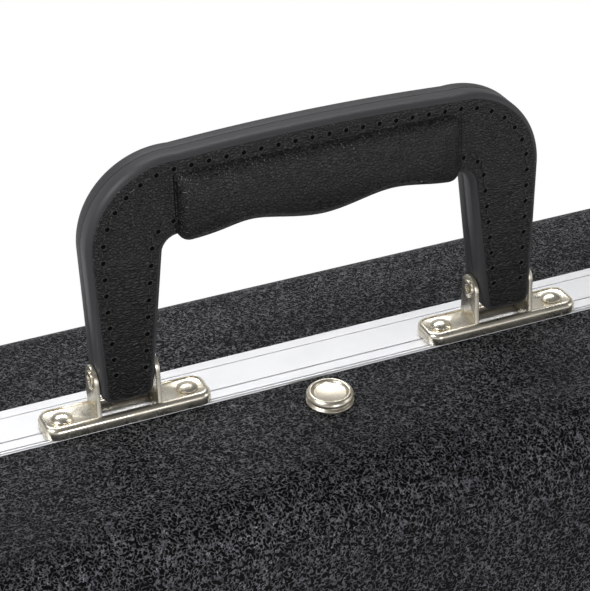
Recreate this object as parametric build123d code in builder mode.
from build123d import *
import os
from math import atan2, cos, hypot, radians, sin, tan

os.makedirs("parts", exist_ok=True)

# Moulded electric guitar case standing on its hinge side, in millimetres.
# X runs from the body end to the head end, Z up from the floor to the handle side.
# The base half lies toward -Y, the lid toward +Y, and the box of the two is centred on Y = 0.

# Case
CASE_LENGTH = 1044.0
BODY_HEIGHT = 368.0
HEAD_HEIGHT = 250.0
TAPER_START = 190.0
BODY_CORNER = 85.0
HEAD_CORNER = 75.0
TAPER_BLEND = 260.0
BASE_DEPTH = 76.5
LID_DEPTH = 54.5
SHELL_WALL = 3.0
SHELL_STEP = 0.6
RIM_STRAIGHT = 20.0
DRAFT = 3.0
BASE_ROLL = 22.0
LID_ROLL = 18.0
PANEL_MARGIN = 42.0
PANEL_STEP = 2.0
RIB_WIDTH = 26.0
RIB_PITCH = 72.0
RIB_BODY_END = -400.0
RIB_HEAD_END = 330.0
FOOT_HEIGHT = 14.0

# Aluminium valance
VALANCE_WALL = 1.6
VALANCE_BASE = 17.4
VALANCE_LID = 3.9
VALANCE_LEG = 8.0
VALANCE_LEG_WALL = 1.2
VALANCE_WEB = 1.4
VALANCE_EDGE = 0.7
GROOVE_WIDTH = 0.7
GROOVE_DEPTH = 0.4
GROOVE_REACHES = [11.6, 15.9]
SHEET_FIT = 0.05
PART_GAP = 0.3
TONGUE_REACH = 1.5
TONGUE_WALL = 1.6
TONGUE_GAP = 0.4

# Handle and its brackets
HANDLE_X = -75.0
BRACKET_PITCH = 120.5
BRACKET_REACH = 11.7
PLATE_LENGTH = 50.5
PLATE_WIDTH = 12.6
PLATE_HEIGHT = 3.5
PLATE_SHEET = 1.2
PLATE_CORNER = 4.0
PLATE_EDGE = 1.6
RAIL_WIDTH = 1.9
RIM_WIDTH = 1.3
FIELD_DEPTH = 0.5
FIELD_CORNER = 2.6
RIVET_PITCH = 38.1
WINDOW_WIDTH = 8.0
EAR_PITCH = 18.3
EAR_SHEET = 1.2
EAR_WIDTH = 9.8
EAR_TOP = 4.3
PIN_HEIGHT = 13.5
PIN_RADIUS = 1.9
PIN_HEAD_RADIUS = 2.8
PIN_HEAD = 0.5
PIN_HOLLOW = 1.3
PIN_HOLLOW_DEPTH = 2.5
RUNNING_FIT = 0.06
EAR_GAP = 0.2
LEG_BELOW_PIN = 6.2
LEG_CORNER = 3.5
LEG_SPREAD = 5.9
LEG_FLARE = 1.7
HANDLE_TOP = 68.5
HANDLE_CROWN = 1.3
HANDLE_BAR = 25.8
HANDLE_CORNER = 28.0
HANDLE_INNER_CORNER = 5.0
HANDLE_HALF_FOOT = 6.6
HANDLE_HALF_TOP = 5.4
HANDLE_EDGE = 2.5
GRIP_LENGTH = 86.8
GRIP_HALF = 8.0
GRIP_TOP = 62.3
GRIP_END_Z = 40.8
GRIP_HOLLOW_X = 21.0
GRIP_HOLLOW_Z = 43.1
GRIP_LOBE_Z = 40.0
GRIP_CORNER = 3.6
GRIP_ROUND = 3.2
STRAP_WALL = 1.6
STRAP_WIDTH = 7.0
STRAP_FIT = 0.1
STRAP_BEND = 15.0

# Rivets
RIVET_SHANK = 1.9
RIVET_HEAD = 3.25
RIVET_DOME = 1.5
RIVET_TAIL = 3.0
RIVET_TAIL_WALL = 1.0
RIVET_FIT = 0.05
RIVET_BORE = 40.0

# Stud on the base wall
STUD_X = -3.8
STUD_REACH = 29.6
STUD_RADIUS = 7.0
STUD_HEIGHT = 3.6
STUD_FOOT = 0.5
STUD_WAIST = 6.2
STUD_WAIST_FROM = 1.0
STUD_WAIST_TO = 1.7
STUD_CAP_EDGE = 2.0
STUD_ROLL = 1.1
STUD_DISH = 0.8

# Latches
LATCH_OFFSET = 175.0
LATCH_REACH = 9.2
LATCH_RIVET_REACH = 11.7
LATCH_EDGE = 0.6
LATCH_WIDTH = 16.0
LATCH_SHEET = 1.5
LEVER_PIVOT_REACH = 4.5
LEVER_PIVOT_HEIGHT = 5.5
LEVER_PIN = 1.5
LATCH_EAR_PITCH = 22.2
LATCH_EAR_SHEET = 1.2
LATCH_EAR_TOP = 3.3
LATCH_EAR_WIDTH = 8.0
LEVER_WIDTH = 19.0
LEVER_SHEET = 1.2
LEVER_CURL = 3.1
LEVER_LENGTH = 29.0
LEVER_LIP = 3.5
LEVER_LIP_DROP = 1.2
LEVER_HEEL = 12.0
LEVER_EDGE = 0.8
LEVER_PIN_HEAD = 2.3
LEVER_PIN_HEAD_WALL = 0.5
LOOP_OFFSET = 7.0
LOOP_DROP = 0.5
LOOP_WIRE = 1.2
LOOP_PITCH = 28.4
LOOP_TUCK = 7.5
LOOP_BEND = 2.6
HOOK_REACH = 9.0
HOOK_HEIGHT = 3.0
HOOK_GAP = 0.4
HOOK_LIP = 4.6
STRIKE_SHEET = 1.2
STRIKE_WIDTH = 24.0
STRIKE_LENGTH = 17.0
STRIKE_RIVET_PITCH = 14.0
STRIKE_CORNER = 2.5
STRIKE_RIVET_REACH = 13.0
LOCK_REACH = 24.0
LOCK_RADIUS = 4.3
LOCK_RIM = 5.2
LOCK_CAM_WIDTH = 4.0
LOCK_CAM_REACH = 6.6
LOCK_TONGUE = 29.5
LOCK_TONGUE_WIDTH = 15.6
KEEPER_GAP = 0.4
KEEPER_LENGTH = 5.0
KEEPER_WALL = 1.0
LOCK_CAM_WALL = 1.0
LOCK_RIM_WALL = 0.8
KEYWAY_LENGTH = 5.0
KEYWAY_WIDTH = 1.5
KEYWAY_DEPTH = 3.0

# Hinges
HINGE_XS = [-300.0, 0.0, 300.0]
HINGE_LENGTH = 50.0
HINGE_SHEET = 1.2
HINGE_AXIS = 4.0
HINGE_BARREL = 2.9
HINGE_PIN = 1.4
HINGE_LEAF_BASE = 15.5
HINGE_LEAF_LID = 15.0
HINGE_KNUCKLES = 5
HINGE_KNUCKLE_GAP = 0.4
HINGE_LEAF_GAP = 0.6
HINGE_RIVET_PITCH = 32.0
HINGE_RIVET_BASE = 11.7
HINGE_RIVET_LID = 11.3
HINGE_RIVET_HEAD = 2.8
HINGE_RIVET_DOME = 1.0

# Feet
FOOT_XS = [-400.0, 400.0]
FOOT_LENGTH = 46.0
FOOT_BASE_REACH = 36.0
FOOT_LID_REACH = 18.0
FOOT_WIDTH = 18.0
FOOT_CORNER = 5.0
FOOT_EDGE = 2.0
FOOT_SCREW_DEPTH = 7.0

# Padded lining
LINER_SIDE = 6.6
LINER_BACK = 0.3
LINER_BASE_TOP = 4.0
LINER_LID_TOP = 4.5
LINER_LID_PAD = 14.0
LINER_ROLL = 20.0
SOFT_FIT = 0.3
BODY_X = -340.0
BAY_DEPTH = 50.0
LOWER_BOUT = 155.0
UPPER_BOUT = 132.0
BOUT_PITCH = 225.0
NECK_FROM = 300.0
NECK_TO = 690.0
NECK_WIDTH = 66.0
NECK_DEPTH = 40.0
HEAD_BAY_X = 737.0
HEAD_BAY_LENGTH = 155.0
HEAD_BAY_WIDTH = 130.0
HEAD_BAY_CORNER = 28.0
HEAD_Z_DROP = 59.0
NECK_REST_X = 545.0
NECK_REST_LENGTH = 50.0
NECK_REST_HEIGHT = 20.0
NECK_REST_HOLLOW = 10.0
POCKET_X = 120.0
POCKET_LENGTH = 160.0
POCKET_BELOW_TOP = 37.0
POCKET_ABOVE_MIDDLE = 28.0
POCKET_DEPTH = 45.0
POCKET_CORNER = 10.0
BOX_WALL = 2.5

# Places that follow
PART_Y = (BASE_DEPTH - LID_DEPTH) / 2
SOLE_Z = FOOT_HEIGHT
TOP_Z = SOLE_Z + BODY_HEIGHT
BODY_Z = SOLE_Z + BODY_HEIGHT / 2
HEAD_Z = SOLE_Z + HEAD_HEIGHT / 2
POCKET_WIDTH = TOP_Z - POCKET_BELOW_TOP - BODY_Z - POCKET_ABOVE_MIDDLE
POCKET_Z = TOP_Z - POCKET_BELOW_TOP - POCKET_WIDTH / 2
SHELL_SKIN = VALANCE_WALL + SHEET_FIT
RIM_STACK = SHELL_SKIN + SHELL_WALL
SIDE_WALL = RIM_STACK - SHELL_STEP
HANDLE_Y = PART_Y - BRACKET_REACH
PIN_Z = TOP_Z + PIN_HEIGHT
RIM_CORNERS = [
    (-CASE_LENGTH / 2, SOLE_Z),
    (CASE_LENGTH / 2, SOLE_Z),
    (CASE_LENGTH / 2, SOLE_Z + HEAD_HEIGHT),
    (TAPER_START, TOP_Z),
    (-CASE_LENGTH / 2, TOP_Z),
]
RIM_RADII = [BODY_CORNER, HEAD_CORNER, HEAD_CORNER, TAPER_BLEND, BODY_CORNER]
PARTING = Plane.XZ.offset(-PART_Y)


def rim_plane(reach):
    """The plane at a reach from the parting plane: toward the base, or toward the lid if negative."""
    return Plane.XZ.offset(reach - PART_Y)


def rim_place(x, z, out, along):
    """The plane of a fitting on the rim: its X along the rim, its Y toward the lid and its Z outward."""
    return Plane(origin=(x, PART_Y, z), x_dir=along, z_dir=out)


TOP_OUT, TOP_ALONG = (0, 0, 1), (1, 0, 0)
BODY_OUT, BODY_ALONG = (-1, 0, 0), (0, 0, 1)
HEAD_OUT, HEAD_ALONG = (1, 0, 0), (0, 0, -1)
SOLE_OUT, SOLE_ALONG = (0, 0, -1), (-1, 0, 0)

BRACKET_PLACES = {
    "left": rim_place(HANDLE_X - BRACKET_PITCH / 2, TOP_Z, TOP_OUT, TOP_ALONG),
    "right": rim_place(HANDLE_X + BRACKET_PITCH / 2, TOP_Z, TOP_OUT, TOP_ALONG),
}
LATCH_PLACES = {
    "left": rim_place(HANDLE_X - LATCH_OFFSET, TOP_Z, TOP_OUT, TOP_ALONG),
    "right": rim_place(HANDLE_X + LATCH_OFFSET, TOP_Z, TOP_OUT, TOP_ALONG),
    "body_end": rim_place(-CASE_LENGTH / 2, BODY_Z, BODY_OUT, BODY_ALONG),
    "head_end": rim_place(CASE_LENGTH / 2, HEAD_Z, HEAD_OUT, HEAD_ALONG),
}
LOCKED_LATCH = "right"
HINGE_PLACES = {
    "body": rim_place(HINGE_XS[0], SOLE_Z, SOLE_OUT, SOLE_ALONG),
    "middle": rim_place(HINGE_XS[1], SOLE_Z, SOLE_OUT, SOLE_ALONG),
    "head": rim_place(HINGE_XS[2], SOLE_Z, SOLE_OUT, SOLE_ALONG),
}


def outline(inset):
    """The case's outline as a face, drawn in from the valance's outside by an inset."""
    with BuildSketch(Plane.XY, mode=Mode.PRIVATE) as face:
        with BuildLine():
            FilletPolyline(*RIM_CORNERS, radius=RIM_RADII, close=True)
        make_face()
        if inset:
            offset(amount=-inset)
    return face.sketch


def band(start, stop, outer, inner, mode=Mode.ADD):
    """A ring round the rim from one reach to another, between two insets."""
    with BuildSketch(rim_plane(start)) as ring:
        add(outline(outer))
        add(outline(inner), mode=Mode.SUBTRACT)
    extrude(ring.sketch, amount=stop - start, mode=mode)


def moulded_form(inset, depth, roll, margin, step, ribs):
    """One half's moulded form: straight at the rim, drafted, rolled over, with a stepped panel and ribs."""
    with BuildPart() as form:
        with BuildSketch(rim_plane(0)):
            add(outline(inset))
        extrude(amount=RIM_STRAIGHT)
        with BuildSketch(rim_plane(RIM_STRAIGHT)):
            add(outline(inset))
        extrude(amount=depth - RIM_STRAIGHT, taper=DRAFT)
        fillet(form.faces().sort_by(Axis.Y)[0].edges(), radius=roll)
        if step:
            with BuildSketch(rim_plane(depth)):
                add(outline(margin))
            extrude(amount=-step, taper=45, mode=Mode.SUBTRACT)
        if ribs:
            rib_length = RIB_HEAD_END - RIB_BODY_END
            with BuildSketch(rim_plane(depth - step)):
                with Locations(((RIB_BODY_END + RIB_HEAD_END) / 2, HEAD_Z)):
                    with GridLocations(0, RIB_PITCH, 1, 3):
                        SlotOverall(rib_length, ribs)
            extrude(amount=step, taper=20)
    return form.part


def rivet(grip, head=RIVET_HEAD, dome=RIVET_DOME):
    """A domed rivet along Z: its head seated at Z = 0 and its clinched tail below the grip."""
    tail = -grip - RIVET_TAIL_WALL
    with BuildPart() as body:
        with BuildSketch(Plane.XZ):
            with BuildLine():
                Polyline((0, tail), (RIVET_TAIL, tail), (RIVET_TAIL, -grip), (RIVET_SHANK, -grip))
                Polyline((RIVET_SHANK, -grip), (RIVET_SHANK, 0), (head, 0), (head, dome / 4))
                TangentArc((0, dome), (head, dome / 4), tangent=(1, 0))
                Line((0, dome), (0, tail))
            make_face()
        revolve(axis=Axis.Z)
    return body.part


def bores(places, length, radius=RIVET_SHANK + RIVET_FIT):
    """Straight holes through everything at the rivets' places."""
    with BuildPart() as holes:
        with Locations(*places):
            Cylinder(radius, length)
    return holes.part


def on(place, x, y, z=0.0):
    """A location on a fitting's plane."""
    return place.location * Location((x, y, z))


# Places of all rivets, by what they hold
BRACKET_RIVETS = [
    on(place, side * RIVET_PITCH / 2, -BRACKET_REACH)
    for place in BRACKET_PLACES.values()
    for side in (-1, 1)
]
LATCH_RIVETS = [
    on(place, side * RIVET_PITCH / 2, -LATCH_RIVET_REACH)
    for place in LATCH_PLACES.values()
    for side in (-1, 1)
]
STRIKE_RIVETS = [
    on(place, side * STRIKE_RIVET_PITCH / 2, STRIKE_RIVET_REACH)
    for place in LATCH_PLACES.values()
    for side in (-1, 1)
]
HINGE_RIVETS_BASE = [
    on(place, side * HINGE_RIVET_PITCH / 2, -HINGE_RIVET_BASE)
    for place in HINGE_PLACES.values()
    for side in (-1, 1)
]
HINGE_RIVETS_LID = [
    on(place, side * HINGE_RIVET_PITCH / 2, HINGE_RIVET_LID)
    for place in HINGE_PLACES.values()
    for side in (-1, 1)
]
FOOT_RIVETS_BASE = [Location((x, PART_Y - FOOT_BASE_REACH, 0)) for x in FOOT_XS]
FOOT_RIVETS_LID = [Location((x, PART_Y + FOOT_LID_REACH, 0)) for x in FOOT_XS]

# The stud stands square on the drafted wall of the base
stud_sink = SHELL_STEP + (STUD_REACH - RIM_STRAIGHT) * tan(radians(DRAFT))
STUD_PLACE = Plane(
    origin=(HANDLE_X + STUD_X, PART_Y - STUD_REACH, TOP_Z - stud_sink),
    x_dir=(1, 0, 0),
    z_dir=(0, -sin(radians(DRAFT)), cos(radians(DRAFT))),
)

# Base shell: black moulded plastic, open toward the lid, stepped down where the valance lies on it
base_form = moulded_form(SHELL_STEP, BASE_DEPTH, BASE_ROLL, PANEL_MARGIN, PANEL_STEP, RIB_WIDTH)
base_cavity = moulded_form(
    RIM_STACK, BASE_DEPTH - SHELL_WALL, BASE_ROLL - SHELL_WALL, PANEL_MARGIN - SHELL_WALL, PANEL_STEP, 0
)
with BuildPart() as base_shell:
    add(base_form)
    add(base_cavity, mode=Mode.SUBTRACT)
    band(0, VALANCE_WEB + SHEET_FIT, 0, RIM_STACK + 1, Mode.SUBTRACT)
    band(0, VALANCE_BASE + SHEET_FIT, 0, SHELL_SKIN, Mode.SUBTRACT)
    add(bores(BRACKET_RIVETS + LATCH_RIVETS + HINGE_RIVETS_BASE, RIVET_BORE), mode=Mode.SUBTRACT)
    add(bores(FOOT_RIVETS_BASE, 2 * (SOLE_Z + RIVET_BORE / 2)), mode=Mode.SUBTRACT)
    add(bores([STUD_PLACE.location], RIVET_BORE), mode=Mode.SUBTRACT)
base_shell.part.label = "base_shell"
export_step(base_shell.part, "parts/base_shell.step")

# Lid shell: the same moulding, shallower, mirrored across the parting plane
lid_form = mirror(
    moulded_form(SHELL_STEP, LID_DEPTH, LID_ROLL, PANEL_MARGIN, PANEL_STEP, RIB_WIDTH), about=PARTING
)
lid_cavity = mirror(
    moulded_form(
        RIM_STACK, LID_DEPTH - SHELL_WALL, LID_ROLL - SHELL_WALL, PANEL_MARGIN - SHELL_WALL, PANEL_STEP, 0
    ),
    about=PARTING,
)
with BuildPart() as lid_shell:
    add(lid_form)
    add(lid_cavity, mode=Mode.SUBTRACT)
    band(0, -VALANCE_LID - SHEET_FIT, 0, RIM_STACK + 1, Mode.SUBTRACT)
    add(bores(STRIKE_RIVETS + HINGE_RIVETS_LID, RIVET_BORE), mode=Mode.SUBTRACT)
    add(bores(FOOT_RIVETS_LID, 2 * (SOLE_Z + RIVET_BORE / 2)), mode=Mode.SUBTRACT)
lid_shell.part.label = "lid_shell"
export_step(lid_shell.part, "parts/lid_shell.step")

# Base valance: an extruded aluminium edge bent round the rim, its channel gripping the shell
channel_inset = RIM_STACK + SHEET_FIT
rim_inset = channel_inset + VALANCE_LEG_WALL
tongue_inset = (rim_inset - TONGUE_WALL) / 2
base_edge = -PART_GAP / 2
with BuildPart() as base_valance:
    band(-base_edge, VALANCE_BASE, 0, VALANCE_WALL)
    band(-base_edge, VALANCE_WEB, 0, rim_inset)
    band(-base_edge, VALANCE_LEG, channel_inset, rim_inset)
    band(-base_edge, -TONGUE_REACH, tongue_inset, tongue_inset + TONGUE_WALL)
    for reach in GROOVE_REACHES:
        band(reach, reach + GROOVE_WIDTH, -1, GROOVE_DEPTH, Mode.SUBTRACT)
    add(bores(BRACKET_RIVETS + LATCH_RIVETS + HINGE_RIVETS_BASE, RIVET_BORE), mode=Mode.SUBTRACT)
    outer_rim = base_valance.faces().filter_by_position(
        Axis.Y, PART_Y - VALANCE_BASE - 0.01, PART_Y - VALANCE_BASE + 0.01
    )
    fillet(outer_rim[0].outer_wire().edges(), radius=VALANCE_EDGE)
base_valance.part.label = "base_valance"
export_step(base_valance.part, "parts/base_valance.step")

# Lid valance: the narrow edge that closes over the base valance's tongue
with BuildPart() as lid_valance:
    band(base_edge, -VALANCE_LID, 0, rim_inset)
    band(-VALANCE_LID, -VALANCE_LEG, channel_inset, rim_inset)
    band(
        base_edge,
        -TONGUE_REACH - TONGUE_GAP,
        tongue_inset - TONGUE_GAP,
        tongue_inset + TONGUE_WALL + TONGUE_GAP,
        Mode.SUBTRACT,
    )
lid_valance.part.label = "lid_valance"
export_step(lid_valance.part, "parts/lid_valance.step")

# Lining of the base: padded foam with a bay for the body, a neck channel, a head bay and a pocket
base_liner_depth = BASE_DEPTH - SHELL_WALL - PANEL_STEP - LINER_BACK
lid_liner_depth = LID_DEPTH - SHELL_WALL - PANEL_STEP - LINER_BACK
neck_tilt = atan2(HEAD_Z_DROP, HEAD_BAY_X)
WELL = Plane(
    origin=(BODY_X, PART_Y - LINER_BASE_TOP, BODY_Z),
    x_dir=(cos(neck_tilt), 0, -sin(neck_tilt)),
    z_dir=(0, -1, 0),
)
with BuildPart() as base_liner:
    with BuildSketch(rim_plane(LINER_BASE_TOP)):
        add(outline(LINER_SIDE))
    extrude(amount=base_liner_depth - LINER_BASE_TOP, taper=DRAFT)
    fillet(base_liner.faces().sort_by(Axis.Y)[0].edges(), radius=LINER_ROLL)
    with BuildSketch(WELL):
        Circle(LOWER_BOUT)
        with Locations((BOUT_PITCH, 0)):
            Circle(UPPER_BOUT)
        make_hull()
    extrude(amount=BAY_DEPTH, mode=Mode.SUBTRACT)
    with BuildSketch(WELL):
        with Locations(((NECK_FROM + NECK_TO) / 2, 0)):
            Rectangle(NECK_TO - NECK_FROM, NECK_WIDTH)
    extrude(amount=NECK_DEPTH, mode=Mode.SUBTRACT)
    with BuildSketch(WELL):
        with Locations((HEAD_BAY_X, 0)):
            RectangleRounded(HEAD_BAY_LENGTH, HEAD_BAY_WIDTH, HEAD_BAY_CORNER)
    extrude(amount=BAY_DEPTH, mode=Mode.SUBTRACT)
    with BuildSketch(rim_plane(LINER_BASE_TOP)):
        with Locations((POCKET_X, POCKET_Z)):
            RectangleRounded(POCKET_LENGTH, POCKET_WIDTH, POCKET_CORNER)
    extrude(amount=POCKET_DEPTH, mode=Mode.SUBTRACT)
base_liner.part.label = "base_liner"
export_step(base_liner.part, "parts/base_liner.step")

# Neck rest: a padded block in the neck channel, hollowed for the neck
rest_plane = Plane(
    origin=WELL.from_local_coords(Vector(NECK_REST_X, 0, 0)),
    x_dir=WELL.z_dir,
    z_dir=WELL.x_dir,
)
with BuildPart() as neck_rest:
    rest_bottom = NECK_DEPTH - SOFT_FIT
    rest_top = rest_bottom - NECK_REST_HEIGHT
    rest_half = NECK_WIDTH / 2 - SOFT_FIT
    with BuildSketch(rest_plane):
        with BuildLine():
            Polyline(
                (rest_top, -rest_half),
                (rest_bottom, -rest_half),
                (rest_bottom, rest_half),
                (rest_top, rest_half),
            )
            hollow = (rest_top + NECK_REST_HOLLOW, 0)
            ThreePointArc((rest_top, rest_half), hollow, (rest_top, -rest_half))
        make_face()
    extrude(amount=NECK_REST_LENGTH / 2, both=True)
neck_rest.part.label = "neck_rest"
export_step(neck_rest.part, "parts/neck_rest.step")

# Accessory box: a thin open tray that stiffens the pocket beside the neck
with BuildPart() as accessory_box:
    with BuildSketch(rim_plane(LINER_BASE_TOP)):
        with Locations((POCKET_X, POCKET_Z)):
            RectangleRounded(
                POCKET_LENGTH - 2 * SOFT_FIT, POCKET_WIDTH - 2 * SOFT_FIT, POCKET_CORNER - SOFT_FIT
            )
    extrude(amount=POCKET_DEPTH - SOFT_FIT)
    offset(amount=-BOX_WALL, openings=accessory_box.faces().sort_by(Axis.Y)[-1])
accessory_box.part.label = "accessory_box"
export_step(accessory_box.part, "parts/accessory_box.step")

# Lining of the lid: a padded tray
with BuildPart() as lid_liner:
    with BuildSketch(rim_plane(-LINER_LID_TOP)):
        add(outline(LINER_SIDE))
    extrude(amount=-(lid_liner_depth - LINER_LID_TOP), taper=DRAFT)
    fillet(lid_liner.faces().sort_by(Axis.Y)[-1].edges(), radius=LINER_ROLL)
    with BuildSketch(rim_plane(-LINER_LID_TOP)):
        add(outline(LINER_SIDE + LINER_LID_PAD))
    extrude(amount=-(lid_liner_depth - LINER_LID_TOP - LINER_LID_PAD), mode=Mode.SUBTRACT)
lid_liner.part.label = "lid_liner"
export_step(lid_liner.part, "parts/lid_liner.step")

# Handle bracket: a pressed plate with a rounded rail and two ears bent up out of its window
ear_inner = (EAR_PITCH - EAR_SHEET) / 2
ear_outer = (EAR_PITCH + EAR_SHEET) / 2
field_height = PLATE_HEIGHT - FIELD_DEPTH
field_middle = (RAIL_WIDTH - RIM_WIDTH) / 2 - BRACKET_REACH
with BuildPart() as bracket:
    with BuildSketch(Plane.XY):
        with Locations((0, -BRACKET_REACH)):
            RectangleRounded(PLATE_LENGTH, PLATE_WIDTH, PLATE_CORNER)
    extrude(amount=PLATE_HEIGHT)
    fillet(bracket.faces().sort_by(Axis.Z)[-1].edges(), radius=PLATE_EDGE)
    with BuildSketch(Plane.XY):
        with Locations((0, -BRACKET_REACH)):
            RectangleRounded(
                PLATE_LENGTH - 2 * PLATE_SHEET, PLATE_WIDTH - 2 * PLATE_SHEET, PLATE_CORNER - PLATE_SHEET
            )
    extrude(amount=field_height - PLATE_SHEET, mode=Mode.SUBTRACT)
    with BuildSketch(Plane.XY.offset(field_height)):
        with Locations((0, field_middle)):
            RectangleRounded(
                PLATE_LENGTH - 2 * RIM_WIDTH, PLATE_WIDTH - RAIL_WIDTH - RIM_WIDTH, FIELD_CORNER
            )
    extrude(amount=PLATE_HEIGHT, mode=Mode.SUBTRACT)
    with BuildSketch(Plane.XY):
        with Locations((0, -BRACKET_REACH)):
            Rectangle(2 * ear_inner, WINDOW_WIDTH)
    extrude(amount=PLATE_HEIGHT, mode=Mode.SUBTRACT)
    for side in (-1, 1):
        with BuildSketch(Plane.YZ.offset(side * ear_outer)):
            with Locations((-BRACKET_REACH, field_height / 2)):
                Rectangle(EAR_WIDTH, field_height)
            with Locations((-BRACKET_REACH, PIN_HEIGHT)):
                Circle(EAR_TOP)
            make_hull()
        extrude(amount=-side * EAR_SHEET)
    with Locations(Location((0, -BRACKET_REACH, PIN_HEIGHT), (0, 90, 0))):
        Cylinder(PIN_RADIUS, 2 * PLATE_LENGTH, mode=Mode.SUBTRACT)
    with Locations((-RIVET_PITCH / 2, -BRACKET_REACH), (RIVET_PITCH / 2, -BRACKET_REACH)):
        Cylinder(RIVET_SHANK + RIVET_FIT, 4 * PLATE_HEIGHT, mode=Mode.SUBTRACT)

# Handle pin: hollow at both ends and flared over the ears
pin_tip = ear_outer + PIN_HEAD
with BuildPart() as handle_pin:
    with BuildSketch(Plane.XZ.offset(BRACKET_REACH)):
        with BuildLine():
            Polyline(
                (PIN_HOLLOW_DEPTH - pin_tip, PIN_HEIGHT),
                (PIN_HOLLOW_DEPTH - pin_tip, PIN_HEIGHT + PIN_HOLLOW),
                (-pin_tip, PIN_HEIGHT + PIN_HOLLOW),
                (-pin_tip, PIN_HEIGHT + PIN_HEAD_RADIUS),
                (-ear_outer, PIN_HEIGHT + PIN_HEAD_RADIUS),
                (-ear_outer, PIN_HEIGHT + PIN_RADIUS),
                (ear_outer, PIN_HEIGHT + PIN_RADIUS),
                (ear_outer, PIN_HEIGHT + PIN_HEAD_RADIUS),
                (pin_tip, PIN_HEIGHT + PIN_HEAD_RADIUS),
                (pin_tip, PIN_HEIGHT + PIN_HOLLOW),
                (pin_tip - PIN_HOLLOW_DEPTH, PIN_HEIGHT + PIN_HOLLOW),
                (pin_tip - PIN_HOLLOW_DEPTH, PIN_HEIGHT),
                close=True,
            )
        make_face()
    revolve(axis=Axis((0, -BRACKET_REACH, PIN_HEIGHT), (1, 0, 0)))

for name, place in BRACKET_PLACES.items():
    plate = bracket.part.moved(place.location)
    plate.label = f"handle_bracket_{name}"
    export_step(plate, f"parts/handle_bracket_{name}.step")
    pin = handle_pin.part.moved(place.location)
    pin.label = f"handle_pin_{name}"
    export_step(pin, f"parts/handle_pin_{name}.step")

bracket_rivet = rivet(field_height + RIM_STACK)
with BuildPart() as bracket_rivets:
    with Locations(*[place * Location((0, 0, field_height)) for place in BRACKET_RIVETS]):
        add(bracket_rivet)
bracket_rivets.part.label = "bracket_rivets"
export_step(bracket_rivets.part, "parts/bracket_rivets.step")

# Centre stud: a dished cap with a rolled rim over a flared foot, clinched through the wall
with BuildPart() as centre_stud:
    with BuildSketch(Plane.XZ):
        with BuildLine():
            Polyline(
                (0, STUD_HEIGHT - STUD_DISH),
                (0, -SIDE_WALL - RIVET_TAIL_WALL),
                (RIVET_TAIL, -SIDE_WALL - RIVET_TAIL_WALL),
                (RIVET_TAIL, -SIDE_WALL),
                (RIVET_SHANK, -SIDE_WALL),
                (RIVET_SHANK, 0),
                (STUD_RADIUS, 0),
                (STUD_RADIUS, STUD_FOOT),
                (STUD_WAIST, STUD_WAIST_FROM),
                (STUD_WAIST, STUD_WAIST_TO),
                (STUD_RADIUS, STUD_CAP_EDGE),
            )
            TangentArc(
                (STUD_RADIUS, STUD_CAP_EDGE), (STUD_RADIUS - STUD_ROLL, STUD_HEIGHT), tangent=(0, 1)
            )
            TangentArc(
                (STUD_RADIUS - STUD_ROLL, STUD_HEIGHT),
                (STUD_RADIUS - 2 * STUD_ROLL, STUD_HEIGHT - STUD_DISH),
                tangent=(-1, 0),
            )
            Line((STUD_RADIUS - 2 * STUD_ROLL, STUD_HEIGHT - STUD_DISH), (0, STUD_HEIGHT - STUD_DISH))
        make_face()
    revolve(axis=Axis.Z)
stud = centre_stud.part.moved(STUD_PLACE.location)
stud.label = "centre_stud"
export_step(stud, "parts/centre_stud.step")

# Handle: two moulded halves over a steel strap, drawn round the pins' axis and then set in place
leg_half = BRACKET_PITCH / 2
bar_bottom = HANDLE_TOP - HANDLE_BAR
shoulder = HANDLE_TOP - HANDLE_CORNER
leg_lean = LEG_SPREAD * (LEG_BELOW_PIN + EAR_TOP) / (LEG_BELOW_PIN + bar_bottom)
flare_lean = LEG_FLARE * (LEG_BELOW_PIN + EAR_TOP) / (LEG_BELOW_PIN + shoulder)
leg_outer = leg_half + ear_inner - EAR_GAP - flare_lean
shoulder_outer = leg_outer + LEG_FLARE
leg_inner = leg_half - ear_inner + EAR_GAP + leg_lean
face_lean = (HANDLE_HALF_FOOT - HANDLE_HALF_TOP) / (HANDLE_TOP + LEG_BELOW_PIN)
HANDLE_PLACE = Location((HANDLE_X, HANDLE_Y, PIN_Z))


def handle_frame():
    """The handle's outline: two legs, rounded corners and a crowned top bar."""
    with BuildLine() as edge:
        foot = -LEG_BELOW_PIN
        FilletPolyline(
            (shoulder_outer, shoulder),
            (leg_outer, foot),
            (leg_inner, foot),
            (leg_inner - LEG_SPREAD, bar_bottom),
            (-leg_inner + LEG_SPREAD, bar_bottom),
            (-leg_inner, foot),
            (-leg_outer, foot),
            (-shoulder_outer, shoulder),
            radius=[
                LEG_CORNER, LEG_CORNER, HANDLE_INNER_CORNER, HANDLE_INNER_CORNER, LEG_CORNER, LEG_CORNER
            ],
        )
        rise = shoulder + LEG_BELOW_PIN
        top_left = (-shoulder_outer + HANDLE_CORNER, HANDLE_TOP - HANDLE_CROWN)
        TangentArc((-shoulder_outer, shoulder), top_left, tangent=(-LEG_FLARE, rise))
        top_right = (shoulder_outer - HANDLE_CORNER, HANDLE_TOP - HANDLE_CROWN)
        ThreePointArc(top_left, (0, HANDLE_TOP), top_right)
        TangentArc((shoulder_outer, shoulder), top_right, tangent=(LEG_FLARE, rise))
    make_face(edge.edges())


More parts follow.
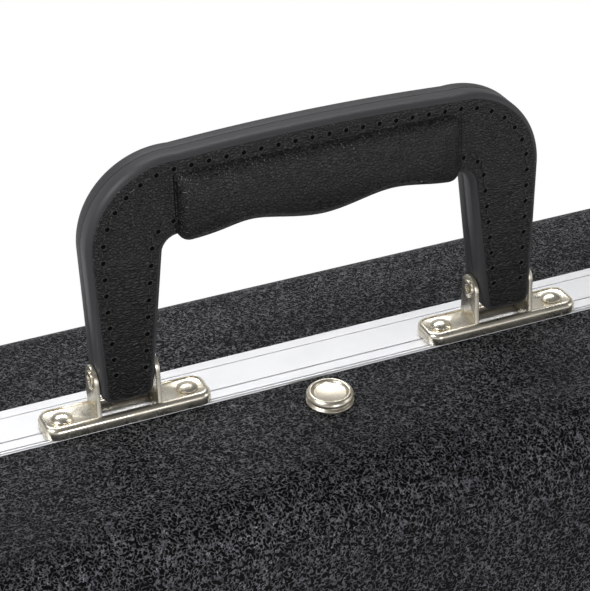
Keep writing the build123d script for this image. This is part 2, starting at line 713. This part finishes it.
def grip_outline():
    """The padded grip's face: a straight top and two shallow finger hollows below."""
    half = GRIP_LENGTH / 2
    with BuildLine() as edge:
        Polyline((-half, GRIP_END_Z), (-half, GRIP_TOP), (half, GRIP_TOP), (half, GRIP_END_Z))
        Spline(
            (half, GRIP_END_Z),
            (GRIP_HOLLOW_X, GRIP_HOLLOW_Z),
            (0, GRIP_LOBE_Z),
            (-GRIP_HOLLOW_X, GRIP_HOLLOW_Z),
            (-half, GRIP_END_Z),
            tangents=[(-1, 0), (-1, 0)],
        )
    make_face(edge.edges())


def strap_path(foot, width):
    """The strap's bent course as a face, from one leg's foot to the other's."""
    strap_rise = HANDLE_TOP - HANDLE_BAR / 2
    with BuildLine() as course:
        FilletPolyline(
            (-leg_half, foot),
            (-leg_half, strap_rise),
            (leg_half, strap_rise),
            (leg_half, foot),
            radius=STRAP_BEND,
        )
    trace(course.edges(), line_width=width)


# Steel strap: one flat strip bent to the handle's shape, pierced for both pins
with BuildPart() as handle_strap:
    with BuildSketch(Plane.XZ):
        strap_path(1 - LEG_BELOW_PIN, STRAP_WALL)
    extrude(amount=STRAP_WIDTH / 2, both=True)
    with Locations(Location((0, 0, 0), (0, 90, 0))):
        Cylinder(PIN_RADIUS + RUNNING_FIT, 3 * BRACKET_PITCH, mode=Mode.SUBTRACT)
strap = handle_strap.part.moved(HANDLE_PLACE)
strap.label = "handle_strap"
export_step(strap, "parts/handle_strap.step")

with BuildPart() as grip_half:
    with BuildSketch(Plane.XZ):
        grip_outline()
    extrude(amount=GRIP_HALF)
    fillet(grip_half.edges().filter_by(Axis.Y), radius=GRIP_CORNER)
    fillet(grip_half.faces().sort_by(Axis.Y)[0].edges(), radius=GRIP_ROUND)

with BuildPart() as handle_half:
    with BuildSketch(Plane.XZ):
        handle_frame()
    extrude(amount=HANDLE_HALF_FOOT)
    with BuildSketch(Plane.YZ):
        with BuildLine():
            Polyline(
                (0, -2 * HANDLE_TOP),
                (0, 2 * HANDLE_TOP),
                (face_lean * HANDLE_TOP - HANDLE_HALF_TOP, 2 * HANDLE_TOP),
                (-face_lean * (2 * HANDLE_TOP - LEG_BELOW_PIN) - HANDLE_HALF_FOOT, -2 * HANDLE_TOP),
                close=True,
            )
        make_face()
    extrude(amount=BRACKET_PITCH, both=True, mode=Mode.INTERSECT)
    leather = handle_half.faces().filter_by(lambda face: face.normal_at().Y < -0.98)
    fillet(leather[0].outer_wire().edges(), radius=HANDLE_EDGE)
    add(grip_half.part)
    with BuildSketch(Plane.XZ):
        strap_path(-2 * LEG_BELOW_PIN, STRAP_WALL + 2 * STRAP_FIT)
    extrude(amount=STRAP_WIDTH / 2 + STRAP_FIT, mode=Mode.SUBTRACT)
    with Locations(Location((0, 0, 0), (0, 90, 0))):
        Cylinder(PIN_RADIUS + RUNNING_FIT, 3 * BRACKET_PITCH, mode=Mode.SUBTRACT)
handle_front = handle_half.part.moved(HANDLE_PLACE)
handle_front.label = "handle_front"
export_step(handle_front, "parts/handle_front.step")
handle_back = mirror(handle_half.part, about=Plane.XZ).moved(HANDLE_PLACE)
handle_back.label = "handle_back"
export_step(handle_back, "parts/handle_back.step")

# Latch plate: a flat plate on the base valance with two ears for the lever's pin
latch_ear_outer = (LATCH_EAR_PITCH + LATCH_EAR_SHEET) / 2
loop_reach = LEVER_PIVOT_REACH + LOOP_OFFSET
loop_height = LEVER_PIVOT_HEIGHT - LOOP_DROP
lever_top = LEVER_PIVOT_HEIGHT + LEVER_CURL
lever_under = LEVER_PIVOT_HEIGHT - LEVER_CURL
cam_bottom = LATCH_SHEET + KEEPER_GAP
cam_top = cam_bottom + LOCK_CAM_WALL
LEVER_AXIS = Location((0, -LEVER_PIVOT_REACH, LEVER_PIVOT_HEIGHT), (0, 90, 0))
LOOP_AXIS = Location((0, -loop_reach, loop_height), (0, 90, 0))


def latch_plate(locking):
    """The plate of a latch: the locking one also has a tongue with a keeper for the lock's cam."""
    with BuildPart() as plate:
        with BuildSketch(Plane.XY):
            with Locations((0, -LATCH_REACH)):
                RectangleRounded(PLATE_LENGTH, LATCH_WIDTH, PLATE_CORNER)
        extrude(amount=LATCH_SHEET)
        fillet(plate.faces().sort_by(Axis.Z)[-1].edges(), radius=LATCH_EDGE)
        for side in (-1, 1):
            with BuildSketch(Plane.YZ.offset(side * latch_ear_outer)):
                with Locations((-LEVER_PIVOT_REACH, LATCH_SHEET / 2)):
                    Rectangle(LATCH_EAR_WIDTH, LATCH_SHEET)
                with Locations((-LEVER_PIVOT_REACH, LEVER_PIVOT_HEIGHT)):
                    Circle(LATCH_EAR_TOP)
                make_hull()
            extrude(amount=-side * LATCH_EAR_SHEET)
        if locking:
            tongue_mid = -(LATCH_REACH + LOCK_TONGUE) / 2
            with BuildSketch(Plane.XY):
                with Locations((0, tongue_mid)):
                    Rectangle(LOCK_TONGUE_WIDTH, LOCK_TONGUE - LATCH_REACH)
            extrude(amount=LATCH_SHEET)
            with BuildSketch(Plane.XZ.offset(LOCK_REACH - KEEPER_LENGTH / 2)):
                with BuildLine():
                    Polyline(
                        (LOCK_TONGUE_WIDTH / 2, 0),
                        (LOCK_TONGUE_WIDTH / 2, cam_top + KEEPER_GAP + KEEPER_WALL),
                        (LOCK_RADIUS + KEEPER_GAP, cam_top + KEEPER_GAP + KEEPER_WALL),
                        (LOCK_RADIUS + KEEPER_GAP, cam_top + KEEPER_GAP),
                        (LOCK_CAM_REACH + KEEPER_GAP, cam_top + KEEPER_GAP),
                        (LOCK_CAM_REACH + KEEPER_GAP, 0),
                        close=True,
                    )
                make_face()
            extrude(amount=KEEPER_LENGTH)
        with Locations(LEVER_AXIS):
            Cylinder(LEVER_PIN, PLATE_LENGTH, mode=Mode.SUBTRACT)
        with Locations((-RIVET_PITCH / 2, -LATCH_RIVET_REACH), (RIVET_PITCH / 2, -LATCH_RIVET_REACH)):
            Cylinder(RIVET_SHANK + RIVET_FIT, 4 * LATCH_SHEET, mode=Mode.SUBTRACT)
    return plate.part


def latch_lever(locking):
    """The lever of a latch: a folded channel curled round its pin, its far end a finger lip."""
    tip = -LEVER_PIVOT_REACH - LEVER_LENGTH
    neck = tip + LEVER_LIP
    with BuildPart() as lever:
        with BuildSketch(Plane.YZ):
            with BuildLine():
                Polyline(
                    (-LEVER_PIVOT_REACH, lever_top),
                    (neck, lever_top),
                    (tip, lever_top - LEVER_LIP_DROP),
                    (tip, lever_top - LEVER_LIP_DROP - LEVER_SHEET),
                    (-LEVER_PIVOT_REACH - LEVER_HEEL, lever_under),
                    (-LEVER_PIVOT_REACH, lever_under),
                )
                ThreePointArc(
                    (-LEVER_PIVOT_REACH, lever_under),
                    (-LEVER_PIVOT_REACH + LEVER_CURL, LEVER_PIVOT_HEIGHT),
                    (-LEVER_PIVOT_REACH, lever_top),
                )
            make_face()
        extrude(amount=LEVER_WIDTH / 2, both=True)
        fillet(
            lever.edges().filter_by_position(Axis.Z, lever_top - 0.01, lever_top + 0.01).filter_by(Axis.Y),
            radius=LEVER_EDGE,
        )
        with BuildSketch(Plane.YZ):
            with Locations((-LEVER_PIVOT_REACH, LEVER_PIVOT_HEIGHT)):
                Circle(LEVER_CURL - LEVER_SHEET)
            with BuildLine():
                Polyline(
                    (-LEVER_PIVOT_REACH, lever_top - LEVER_SHEET),
                    (neck, lever_top - LEVER_SHEET),
                    (2 * tip - neck, lever_top - LEVER_SHEET - 2 * LEVER_LIP_DROP),
                    (2 * tip - neck, 0),
                    (-LEVER_PIVOT_REACH, 0),
                    close=True,
                )
            make_face()
        extrude(amount=LEVER_WIDTH / 2 - LEVER_SHEET, both=True, mode=Mode.SUBTRACT)
        with Locations(LEVER_AXIS):
            Cylinder(LEVER_PIN + RUNNING_FIT, 2 * LEVER_WIDTH, mode=Mode.SUBTRACT)
        with Locations(LOOP_AXIS):
            Cylinder(LOOP_WIRE + RUNNING_FIT, 2 * LEVER_WIDTH, mode=Mode.SUBTRACT)
        if locking:
            with Locations((0, -LOCK_REACH, lever_top)):
                Cylinder(LOCK_RADIUS + RUNNING_FIT, 4 * LEVER_SHEET, mode=Mode.SUBTRACT)
    return lever.part


# Latch loop: a bent wire bail, hinged in the lever's flanges and hooked behind the strike
loop_run = HOOK_REACH + loop_reach
loop_fall = HOOK_HEIGHT - loop_height
loop_length = hypot(loop_run, loop_fall)
LOOP = Plane(
    origin=(0, -loop_reach, loop_height),
    x_dir=(1, 0, 0),
    z_dir=(0, -loop_fall / loop_length, loop_run / loop_length),
)
with BuildPart() as latch_loop:
    with BuildLine(LOOP) as bail:
        FilletPolyline(
            (-LOOP_TUCK, 0),
            (-LOOP_PITCH / 2, 0),
            (-LOOP_PITCH / 2, loop_length),
            (LOOP_PITCH / 2, loop_length),
            (LOOP_PITCH / 2, 0),
            (LOOP_TUCK, 0),
            radius=LOOP_BEND,
        )
    with BuildSketch(Plane(origin=bail.line @ 0, z_dir=bail.line % 0)):
        Circle(LOOP_WIRE)
    sweep(path=bail.line)

# Strike: a stepped plate on the lid with the lip that the loop pulls on
lip_face = HOOK_REACH - LOOP_WIRE - HOOK_GAP
with BuildPart() as strike:
    with BuildSketch(Plane.YZ):
        with BuildLine():
            Polyline(
                (PART_GAP, 0),
                (VALANCE_LID + SHEET_FIT, 0),
                (VALANCE_LID + SHEET_FIT, -SHELL_STEP),
                (STRIKE_LENGTH, -SHELL_STEP),
                (STRIKE_LENGTH, STRIKE_SHEET - SHELL_STEP),
                (lip_face, STRIKE_SHEET - SHELL_STEP),
                (lip_face, HOOK_LIP),
                (lip_face - STRIKE_SHEET, HOOK_LIP),
                (lip_face - STRIKE_SHEET, STRIKE_SHEET),
                (PART_GAP, STRIKE_SHEET),
                close=True,
            )
        make_face()
    extrude(amount=STRIKE_WIDTH / 2, both=True)
    with BuildSketch(Plane.XY.offset(-SHELL_STEP)):
        with Locations((0, STRIKE_LENGTH / 2)):
            RectangleRounded(STRIKE_WIDTH, STRIKE_LENGTH, STRIKE_CORNER)
    extrude(amount=SHELL_STEP + 2 * HOOK_LIP, mode=Mode.INTERSECT)
    with Locations(
        (-STRIKE_RIVET_PITCH / 2, STRIKE_RIVET_REACH), (STRIKE_RIVET_PITCH / 2, STRIKE_RIVET_REACH)
    ):
        Cylinder(RIVET_SHANK + RIVET_FIT, 4 * SHELL_SKIN, mode=Mode.SUBTRACT)

# Lock: a key barrel in the lever whose cam turns under the keeper
with BuildPart() as lock_barrel:
    with BuildSketch(Plane.XY.offset(cam_top)):
        with Locations((0, -LOCK_REACH)):
            Circle(LOCK_RADIUS)
    extrude(amount=lever_top - cam_top)
    with BuildSketch(Plane.XY.offset(lever_top)):
        with Locations((0, -LOCK_REACH)):
            Circle(LOCK_RIM)
    extrude(amount=LOCK_RIM_WALL)
    fillet(lock_barrel.faces().sort_by(Axis.Z)[-1].edges(), radius=LOCK_RIM_WALL / 2)
    with BuildSketch(Plane.XY.offset(lever_top + LOCK_RIM_WALL)):
        with Locations((0, -LOCK_REACH)):
            SlotOverall(KEYWAY_LENGTH, KEYWAY_WIDTH)
    extrude(amount=-KEYWAY_DEPTH, mode=Mode.SUBTRACT)
    with BuildSketch(Plane.XY.offset(cam_bottom)):
        with Locations((0, -LOCK_REACH - LOCK_CAM_REACH / 2)):
            Rectangle(LOCK_CAM_WIDTH, LOCK_CAM_REACH)
        with Locations((0, -LOCK_REACH)):
            Circle(LOCK_RADIUS)
    extrude(amount=LOCK_CAM_WALL)

with BuildPart() as lever_pin:
    with BuildSketch(Plane.XZ.offset(LEVER_PIVOT_REACH)):
        pin_end = latch_ear_outer + LEVER_PIN_HEAD_WALL
        with BuildLine():
            Polyline(
                (-pin_end, LEVER_PIVOT_HEIGHT),
                (-pin_end, LEVER_PIVOT_HEIGHT + LEVER_PIN_HEAD),
                (-latch_ear_outer, LEVER_PIVOT_HEIGHT + LEVER_PIN_HEAD),
                (-latch_ear_outer, LEVER_PIVOT_HEIGHT + LEVER_PIN),
                (latch_ear_outer, LEVER_PIVOT_HEIGHT + LEVER_PIN),
                (latch_ear_outer, LEVER_PIVOT_HEIGHT + LEVER_PIN_HEAD),
                (pin_end, LEVER_PIVOT_HEIGHT + LEVER_PIN_HEAD),
                (pin_end, LEVER_PIVOT_HEIGHT),
                close=True,
            )
        make_face()
    revolve(axis=Axis((0, -LEVER_PIVOT_REACH, LEVER_PIVOT_HEIGHT), (1, 0, 0)))

for name, place in LATCH_PLACES.items():
    locking = name == LOCKED_LATCH
    pieces = {
        "latch_plate": latch_plate(locking),
        "latch_lever": latch_lever(locking),
        "latch_loop": latch_loop.part,
        "latch_strike": strike.part,
    }
    if locking:
        pieces["lock_barrel"] = lock_barrel.part
    for kind, shape in pieces.items():
        node = "lock_barrel" if kind == "lock_barrel" else f"{kind}_{name}"
        piece = shape.moved(place.location)
        piece.label = node
        export_step(piece, f"parts/{node}.step")

with BuildPart() as latch_pins:
    with Locations(*[place.location for place in LATCH_PLACES.values()]):
        add(lever_pin.part)
latch_pins.part.label = "latch_pins"
export_step(latch_pins.part, "parts/latch_pins.step")

latch_rivet = rivet(LATCH_SHEET + RIM_STACK)
with BuildPart() as latch_rivets:
    with Locations(*[place * Location((0, 0, LATCH_SHEET)) for place in LATCH_RIVETS]):
        add(latch_rivet)
latch_rivets.part.label = "latch_rivets"
export_step(latch_rivets.part, "parts/latch_rivets.step")

lid_seat = STRIKE_SHEET - SHELL_STEP
strike_rivet = rivet(STRIKE_SHEET + SIDE_WALL, HINGE_RIVET_HEAD, HINGE_RIVET_DOME)
with BuildPart() as strike_rivets:
    with Locations(*[place * Location((0, 0, lid_seat)) for place in STRIKE_RIVETS]):
        add(strike_rivet)
strike_rivets.part.label = "strike_rivets"
export_step(strike_rivets.part, "parts/strike_rivets.step")

# Hinges: butt hinges with interleaved knuckles on one pin, outside the rim
knuckle = HINGE_LENGTH / HINGE_KNUCKLES
knuckle_starts = [i * knuckle - HINGE_LENGTH / 2 for i in range(HINGE_KNUCKLES)]
HINGE_PIN_AXIS = Location((0, 0, HINGE_AXIS), (0, 90, 0))


def hinge_leaf(side, leaf, others, rivet_reach):
    """A leaf and its knuckles. Side is -1 on the base and 1 on the lid, which steps down to its shell."""
    profile = [(side * HINGE_LEAF_GAP, 0), (0, HINGE_AXIS - HINGE_BARREL / 2), (0, HINGE_AXIS)]
    profile += [(side * HINGE_BARREL, HINGE_AXIS), (side * HINGE_BARREL, HINGE_SHEET)]
    if side > 0:
        step = VALANCE_LID + SHEET_FIT
        profile += [(step + HINGE_SHEET, HINGE_SHEET), (step + HINGE_SHEET, HINGE_SHEET - SHELL_STEP)]
        profile += [(leaf, HINGE_SHEET - SHELL_STEP), (leaf, -SHELL_STEP), (step, -SHELL_STEP), (step, 0)]
    else:
        profile += [(-leaf, HINGE_SHEET), (-leaf, 0)]
    with BuildPart() as half:
        with BuildSketch(Plane.YZ):
            with BuildLine():
                Polyline(*profile, close=True)
            make_face()
            with Locations((0, HINGE_AXIS)):
                Circle(HINGE_BARREL)
        extrude(amount=HINGE_LENGTH / 2, both=True)
        for start in others:
            with BuildSketch(Plane.XY.offset(-SHELL_SKIN)):
                with Locations((start + knuckle / 2, 0)):
                    Rectangle(knuckle + HINGE_KNUCKLE_GAP, 2 * (HINGE_BARREL + HINGE_KNUCKLE_GAP))
            extrude(amount=4 * HINGE_AXIS, mode=Mode.SUBTRACT)
        with Locations(HINGE_PIN_AXIS):
            Cylinder(HINGE_PIN + RUNNING_FIT, 2 * HINGE_LENGTH, mode=Mode.SUBTRACT)
        with Locations(
            (-HINGE_RIVET_PITCH / 2, side * rivet_reach), (HINGE_RIVET_PITCH / 2, side * rivet_reach)
        ):
            Cylinder(RIVET_SHANK + RIVET_FIT, 4 * HINGE_AXIS, mode=Mode.SUBTRACT)
    return half.part


base_leaf = hinge_leaf(-1, HINGE_LEAF_BASE, knuckle_starts[1::2], HINGE_RIVET_BASE)
lid_leaf = hinge_leaf(1, HINGE_LEAF_LID, knuckle_starts[0::2], HINGE_RIVET_LID)
for name, place in HINGE_PLACES.items():
    for side, leaf in (("base", base_leaf), ("lid", lid_leaf)):
        piece = leaf.moved(place.location)
        piece.label = f"hinge_{side}_leaf_{name}"
        export_step(piece, f"parts/{piece.label}.step")

with BuildPart() as hinge_pins:
    with Locations(*[place.location * HINGE_PIN_AXIS for place in HINGE_PLACES.values()]):
        Cylinder(HINGE_PIN, HINGE_LENGTH)
hinge_pins.part.label = "hinge_pins"
export_step(hinge_pins.part, "parts/hinge_pins.step")

base_hinge_rivet = rivet(HINGE_SHEET + RIM_STACK, HINGE_RIVET_HEAD, HINGE_RIVET_DOME)
with BuildPart() as hinge_rivets_base:
    with Locations(*[place * Location((0, 0, HINGE_SHEET)) for place in HINGE_RIVETS_BASE]):
        add(base_hinge_rivet)
hinge_rivets_base.part.label = "hinge_rivets_base"
export_step(hinge_rivets_base.part, "parts/hinge_rivets_base.step")

lid_hinge_rivet = rivet(HINGE_SHEET + SIDE_WALL, HINGE_RIVET_HEAD, HINGE_RIVET_DOME)
with BuildPart() as hinge_rivets_lid:
    with Locations(*[place * Location((0, 0, HINGE_SHEET - SHELL_STEP)) for place in HINGE_RIVETS_LID]):
        add(lid_hinge_rivet)
hinge_rivets_lid.part.label = "hinge_rivets_lid"
export_step(hinge_rivets_lid.part, "parts/hinge_rivets_lid.step")


def feet(places, form):
    """Two moulded feet under one half, shaped to its wall, with sunk rivet holes."""
    with BuildPart() as pads:
        with BuildSketch(Plane.XY):
            with Locations(*places):
                RectangleRounded(FOOT_LENGTH, FOOT_WIDTH, FOOT_CORNER)
        extrude(amount=SOLE_Z + FOOT_WIDTH / 2, taper=-DRAFT)
        fillet(pads.edges().group_by(Axis.Z)[0], radius=FOOT_EDGE)
        add(form, mode=Mode.SUBTRACT)
        with Locations(*places):
            Cylinder(RIVET_HEAD + RIVET_DOME, 2 * FOOT_SCREW_DEPTH, mode=Mode.SUBTRACT)
            Cylinder(RIVET_SHANK + RIVET_FIT, 4 * SOLE_Z, mode=Mode.SUBTRACT)
    return pads.part


def foot_rivets(places, reach, shell):
    """The feet's rivets, their tails bedded on the drafted inside of the wall."""
    wall = SOLE_Z + RIM_STACK + max(0, reach - RIM_STRAIGHT) * tan(radians(DRAFT))
    with BuildPart() as rivets:
        with Locations(*[spot * Location((0, 0, FOOT_SCREW_DEPTH), (180, 0, 0)) for spot in places]):
            add(rivet(wall - FOOT_SCREW_DEPTH))
        add(shell, mode=Mode.SUBTRACT)
    return rivets.part


base_feet = feet(FOOT_RIVETS_BASE, base_form)
base_feet.label = "base_feet"
export_step(base_feet, "parts/base_feet.step")
lid_feet = feet(FOOT_RIVETS_LID, lid_form)
lid_feet.label = "lid_feet"
export_step(lid_feet, "parts/lid_feet.step")
foot_rivets_base = foot_rivets(FOOT_RIVETS_BASE, FOOT_BASE_REACH, base_shell.part)
foot_rivets_base.label = "foot_rivets_base"
export_step(foot_rivets_base, "parts/foot_rivets_base.step")
foot_rivets_lid = foot_rivets(FOOT_RIVETS_LID, FOOT_LID_REACH, lid_shell.part)
foot_rivets_lid.label = "foot_rivets_lid"
export_step(foot_rivets_lid, "parts/foot_rivets_lid.step")
